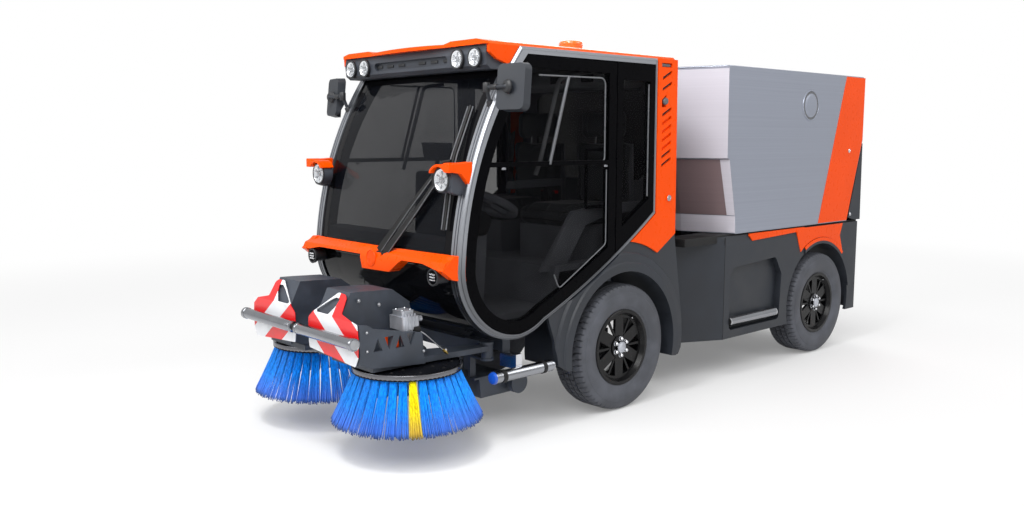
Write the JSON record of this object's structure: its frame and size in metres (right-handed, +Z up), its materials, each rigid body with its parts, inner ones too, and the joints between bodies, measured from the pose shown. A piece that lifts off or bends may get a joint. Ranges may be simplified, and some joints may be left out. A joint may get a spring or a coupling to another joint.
{
  "type": "compact street sweeper",
  "caption": "Compact street sweeper: glazed cab over the front wheels, two front side brushes on swinging arms, suction mouth and rear-tipping hopper.",
  "frame": {"origin": "on the road, on the centre plane, midway along the machine", "axes": "-Y towards the front of the machine, +X to its left side, +Z up"},
  "size_m": [1.661, 4.2902, 2.0036],
  "materials": {
    "orange_paint": "gloss",
    "dark_plastic": "satin",
    "frame_paint": "satin",
    "hoop_metal": "brushed",
    "black_gloss": "gloss",
    "tinted_glass": "gloss",
    "lamp_glass": "gloss",
    "beacon_lens": "gloss",
    "seat_fabric": "woven",
    "stainless": "brushed",
    "rim_paint": "gloss",
    "tyre_rubber": "matte",
    "steel": "painted",
    "motor_alloy": "cast",
    "chrome": "polished",
    "red_white": "striped",
    "bristle": "matte",
    "interior": "matte",
    "lamp_red": "gloss"
  },
  "bodies": {
    "root": {"chassis_frame": "frame_paint", "axles": "steel", "engine_block": "frame_paint", "cab_tub": "interior", "rear_window": "tinted_glass", "cab_roof": "interior", "roof_cap": "orange_paint", "light_bar": "dark_plastic", "lamps": "lamp_glass", "beacon": "beacon_lens", "cab_hoops": "hoop_metal", "windscreen": "tinted_glass", "lower_windscreen": "tinted_glass", "side_frames": "black_gloss", "quarter_glass": "tinted_glass", "rear_pillars": "orange_paint", "front_bar": "orange_paint", "lamp_pods": "orange_paint", "wiper": "frame_paint", "mirrors": "dark_plastic", "seats": "seat_fabric", "dashboard": "interior", "steering_wheel": "interior", "front_fenders": "dark_plastic", "side_skirts": "dark_plastic", "rear_fenders": "dark_plastic", "rear_bumper": "dark_plastic", "rear_lamps": "lamp_red", "side_rollers": "chrome"},
    "door_left": {"door_left": "black_gloss", "door_glass_left": "tinted_glass"},
    "door_right": {"door_right": "black_gloss", "door_glass_right": "tinted_glass"},
    "steer_left": {"knuckle_left": "steel"},
    "steer_right": {"knuckle_right": "steel"},
    "wheel_front_left": {"rim_front_left": "rim_paint", "tyre_front_left": "tyre_rubber"},
    "wheel_front_right": {"rim_front_right": "rim_paint", "tyre_front_right": "tyre_rubber"},
    "wheel_rear_left": {"rim_rear_left": "rim_paint", "tyre_rear_left": "tyre_rubber"},
    "wheel_rear_right": {"rim_rear_right": "rim_paint", "tyre_rear_right": "tyre_rubber"},
    "sweep_gear": {"brush_carrier": "frame_paint", "suction_mouth": "frame_paint"},
    "brush_arm_left": {"brush_arm_left": "frame_paint", "warning_panel_left": "red_white", "brush_motor_left": "motor_alloy"},
    "brush_left": {"brush_plate_left": "black_gloss", "brush_bristles_left": "bristle"},
    "brush_arm_right": {"brush_arm_right": "frame_paint", "warning_panel_right": "red_white", "brush_motor_right": "motor_alloy"},
    "brush_right": {"brush_plate_right": "black_gloss", "brush_bristles_right": "bristle"},
    "hopper": {"hopper_body": "stainless"},
    "hatch": {"hopper_hatch": "dark_plastic"},
    "lift_barrels": {"tip_cylinders": "frame_paint"},
    "lift_rods": {"tip_rods": "chrome"}
  },
  "joints": [
    {"name": "steer_left", "type": "hinge", "parent": "root", "child": "steer_left", "pos_m": [0.44, -0.48, 0.3465], "axis": [0, 0, 1], "range_deg": [-30, 30]},
    {"name": "steer_right", "type": "hinge", "parent": "root", "child": "steer_right", "pos_m": [-0.44, -0.48, 0.3465], "axis": [0, 0, 1], "range_deg": [-30, 30]},
    {"name": "spin_front_left", "type": "hinge", "parent": "steer_left", "child": "wheel_front_left", "pos_m": [0.5295, -0.48, 0.3465], "axis": [1, 0, 0], "continuous": true},
    {"name": "spin_front_right", "type": "hinge", "parent": "steer_right", "child": "wheel_front_right", "pos_m": [-0.5295, -0.48, 0.3465], "axis": [1, 0, 0], "continuous": true},
    {"name": "spin_rear_left", "type": "hinge", "parent": "root", "child": "wheel_rear_left", "pos_m": [0.5295, 1.575, 0.3465], "axis": [1, 0, 0], "continuous": true},
    {"name": "spin_rear_right", "type": "hinge", "parent": "root", "child": "wheel_rear_right", "pos_m": [-0.5295, 1.575, 0.3465], "axis": [1, 0, 0], "continuous": true},
    {"name": "door_left", "type": "hinge", "parent": "root", "child": "door_left", "pos_m": [0.628, -0.553, 1.2], "axis": [0, 0, 1], "range_deg": [0, 80]},
    {"name": "door_right", "type": "hinge", "parent": "root", "child": "door_right", "pos_m": [-0.628, -0.553, 1.2], "axis": [0, 0, -1], "range_deg": [0, 80]},
    {"name": "sweep_lift", "type": "slide", "parent": "root", "child": "sweep_gear", "axis": [0, 0, 1], "range_m": [-0.13, 0]},
    {"name": "brush_swing_left", "type": "hinge", "parent": "sweep_gear", "child": "brush_arm_left", "pos_m": [0.47, -1.325, 0.435], "axis": [0, 0, 1], "range_deg": [0, 40]},
    {"name": "brush_spin_left", "type": "hinge", "parent": "brush_arm_left", "child": "brush_left", "pos_m": [0.375, -1.745, 0.42], "axis": [0, 0, 1], "continuous": true},
    {"name": "brush_swing_right", "type": "hinge", "parent": "sweep_gear", "child": "brush_arm_right", "pos_m": [-0.47, -1.325, 0.435], "axis": [0, 0, -1], "range_deg": [0, 40]},
    {"name": "brush_spin_right", "type": "hinge", "parent": "brush_arm_right", "child": "brush_right", "pos_m": [-0.375, -1.745, 0.42], "axis": [0, 0, 1], "continuous": true},
    {"name": "hopper_tip", "type": "hinge", "parent": "root", "child": "hopper", "pos_m": [0, 2.105, 0.862], "axis": [-1, 0, 0], "range_deg": [0, 45]},
    {"name": "hatch_open", "type": "hinge", "parent": "hopper", "child": "hatch", "pos_m": [0, 2.133, 1.458], "axis": [1, 0, 0], "range_deg": [0, 90]},
    {"name": "lift_barrels", "type": "hinge", "parent": "root", "child": "lift_barrels", "pos_m": [0, 1.12, 0.55], "axis": [1, 0, 0], "range_deg": [0, 13.69]},
    {"name": "lift_rods", "type": "slide", "parent": "lift_barrels", "child": "lift_rods", "axis": [0, 0.8725, 0.4886], "range_m": [0, 0.2887]}
  ],
  "couplings": [
    {"joint": "steer_right", "follows": "steer_left", "ratio": 1},
    {"joint": "lift_barrels", "follows": "hopper_tip", "ratio": 0.29306},
    {"joint": "lift_rods", "follows": "hopper_tip", "m_per_rad": 0.36117}
  ]
}
